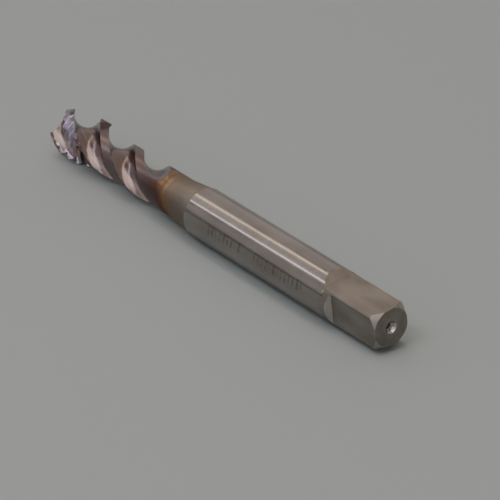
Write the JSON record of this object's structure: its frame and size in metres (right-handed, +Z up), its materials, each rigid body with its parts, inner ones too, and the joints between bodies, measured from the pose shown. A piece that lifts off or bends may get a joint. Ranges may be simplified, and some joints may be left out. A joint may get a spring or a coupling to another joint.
{
  "type": "spiral flute tap",
  "caption": "Machine tap with a right-hand spiral-fluted threaded head, reduced neck, round ground shank and square drive end.",
  "frame": {"origin": "on the surface the tool lies on, below the middle of its length and its axis", "axes": "+X along the tool's axis from the cutting tip to the drive end, +Z up"},
  "size_m": [0.1, 0.01, 0.0101],
  "materials": {
    "coated_high_speed_steel": "ground flutes and thread with a thin bluish-violet hard coating",
    "heat_tinted_weld": "ground weld with straw to purple heat tint",
    "ground_shank_steel": "cylindrically ground steel, warm grey, with fine rings round the axis"
  },
  "bodies": {
    "root": {"cutting_head": "coated_high_speed_steel", "weld_seam": "heat_tinted_weld", "drive_shank": "ground_shank_steel"}
  },
  "joints": []
}
